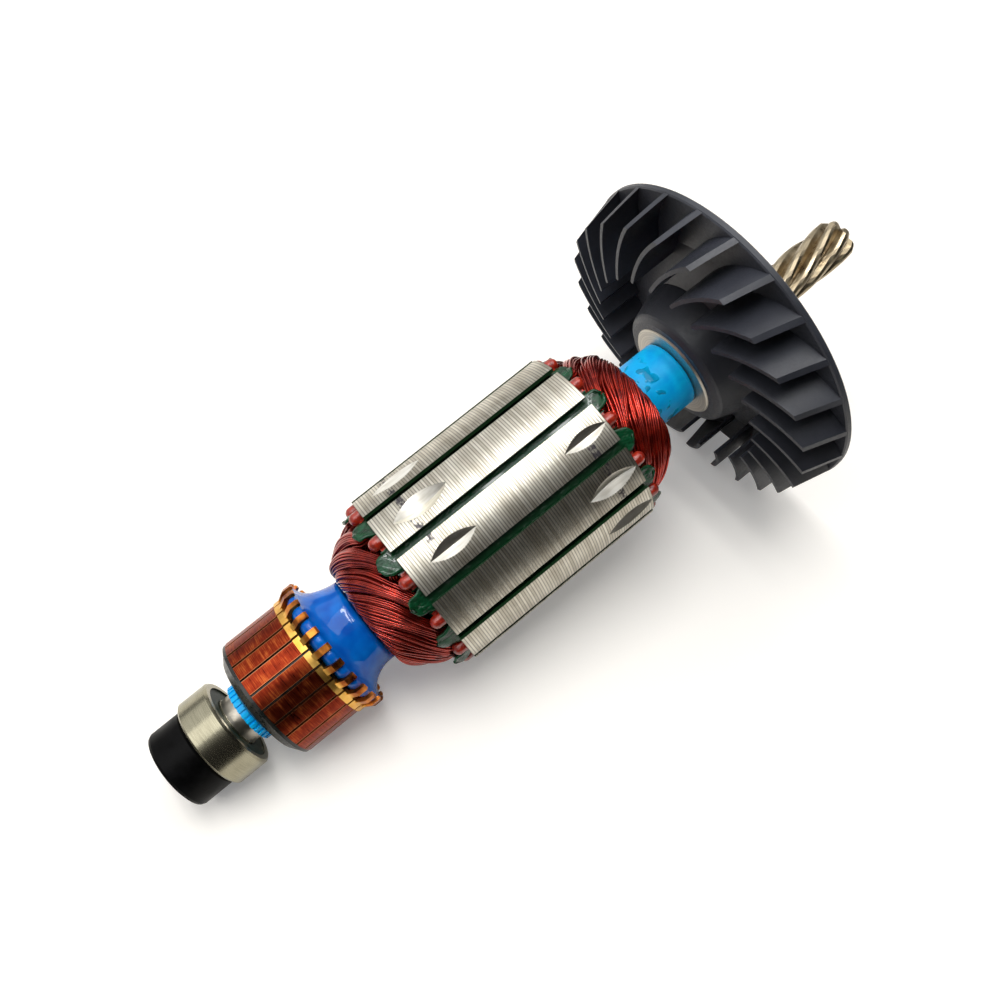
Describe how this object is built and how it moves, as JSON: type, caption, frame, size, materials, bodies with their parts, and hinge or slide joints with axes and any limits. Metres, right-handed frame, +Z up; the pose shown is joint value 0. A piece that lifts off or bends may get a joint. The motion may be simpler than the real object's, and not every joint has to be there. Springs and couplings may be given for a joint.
{
  "type": "motor armature",
  "caption": "Motor armature with a slotted laminated core, red coils, a copper commutator, a ball bearing, a ring magnet, a bladed fan and a helical pinion.",
  "frame": {"origin": "on the surface the armature lies on, below the middle of its bounding box", "axes": "+X towards the pinion, level with the surface, with the shaft rising 11.3 degrees towards it; +Z up from the surface"},
  "size_m": [0.1532, 0.0642, 0.0631],
  "materials": {
    "shaft_steel": "ground steel",
    "core_steel": "stacked electrical steel sheets, bare ground edges",
    "insulator_red": "dull red moulded end insulator",
    "liner_green": "dark green slot paper",
    "strip_green": "green varnished slot strip",
    "coil_wire": "red enamelled copper wire, varnished",
    "hub_resin": "black moulding resin",
    "copper": "bare turned copper",
    "lead_resin": "deep blue cast resin",
    "collar_blue": "blue moulded collar",
    "sleeve_blue": "blue moulded sleeve",
    "insert_metal": "turned pale metal",
    "fan_plastic": "black moulded plastic",
    "magnet_black": "black bonded magnet",
    "bearing_steel": "ground bearing steel",
    "cage_plastic": "pale nylon",
    "seal_rubber": "dark green-black rubber"
  },
  "bodies": {
    "armature": {"shaft": "shaft_steel", "core_laminations": "core_steel", "end_insulator_front": "insulator_red", "end_insulator_back": "insulator_red", "slot_liners": "liner_green", "slot_strips": "strip_green", "commutator_hub": "hub_resin", "lead_resin": "lead_resin", "ribbed_collar": "collar_blue", "fan_sleeve": "sleeve_blue", "fan_insert": "insert_metal", "fan": "fan_plastic", "magnet_ring": "magnet_black", "bearing_inner_ring": "bearing_steel", "coil_01": "coil_wire", "coil_02": "coil_wire", "coil_03": "coil_wire", "coil_04": "coil_wire", "coil_05": "coil_wire", "coil_06": "coil_wire", "coil_07": "coil_wire", "coil_08": "coil_wire", "coil_09": "coil_wire", "coil_10": "coil_wire", "coil_11": "coil_wire", "coil_12": "coil_wire", "commutator_bar_01": "copper", "commutator_bar_02": "copper", "commutator_bar_03": "copper", "commutator_bar_04": "copper", "commutator_bar_05": "copper", "commutator_bar_06": "copper", "commutator_bar_07": "copper", "commutator_bar_08": "copper", "commutator_bar_09": "copper", "commutator_bar_10": "copper", "commutator_bar_11": "copper", "commutator_bar_12": "copper", "commutator_bar_13": "copper", "commutator_bar_14": "copper", "commutator_bar_15": "copper", "commutator_bar_16": "copper", "commutator_bar_17": "copper", "commutator_bar_18": "copper", "commutator_bar_19": "copper", "commutator_bar_20": "copper", "commutator_bar_21": "copper", "commutator_bar_22": "copper", "commutator_bar_23": "copper", "commutator_bar_24": "copper"},
    "bearing_outer": {"bearing_outer_ring": "bearing_steel", "bearing_seal_front": "seal_rubber", "bearing_seal_back": "seal_rubber"},
    "bearing_cage": {"bearing_balls": "bearing_steel", "bearing_cage": "cage_plastic"}
  },
  "joints": [
    {"name": "bearing_spin", "type": "hinge", "parent": "armature", "child": "bearing_outer", "pos_m": [-0.0656, 0, 0.00956], "axis": [0.9808, 0, 0.1951], "continuous": true},
    {"name": "cage_spin", "type": "hinge", "parent": "armature", "child": "bearing_cage", "pos_m": [-0.0656, 0, 0.00956], "axis": [0.9808, 0, 0.1951], "continuous": true}
  ],
  "couplings": [
    {"joint": "cage_spin", "follows": "bearing_spin", "ratio": 0.6217}
  ]
}
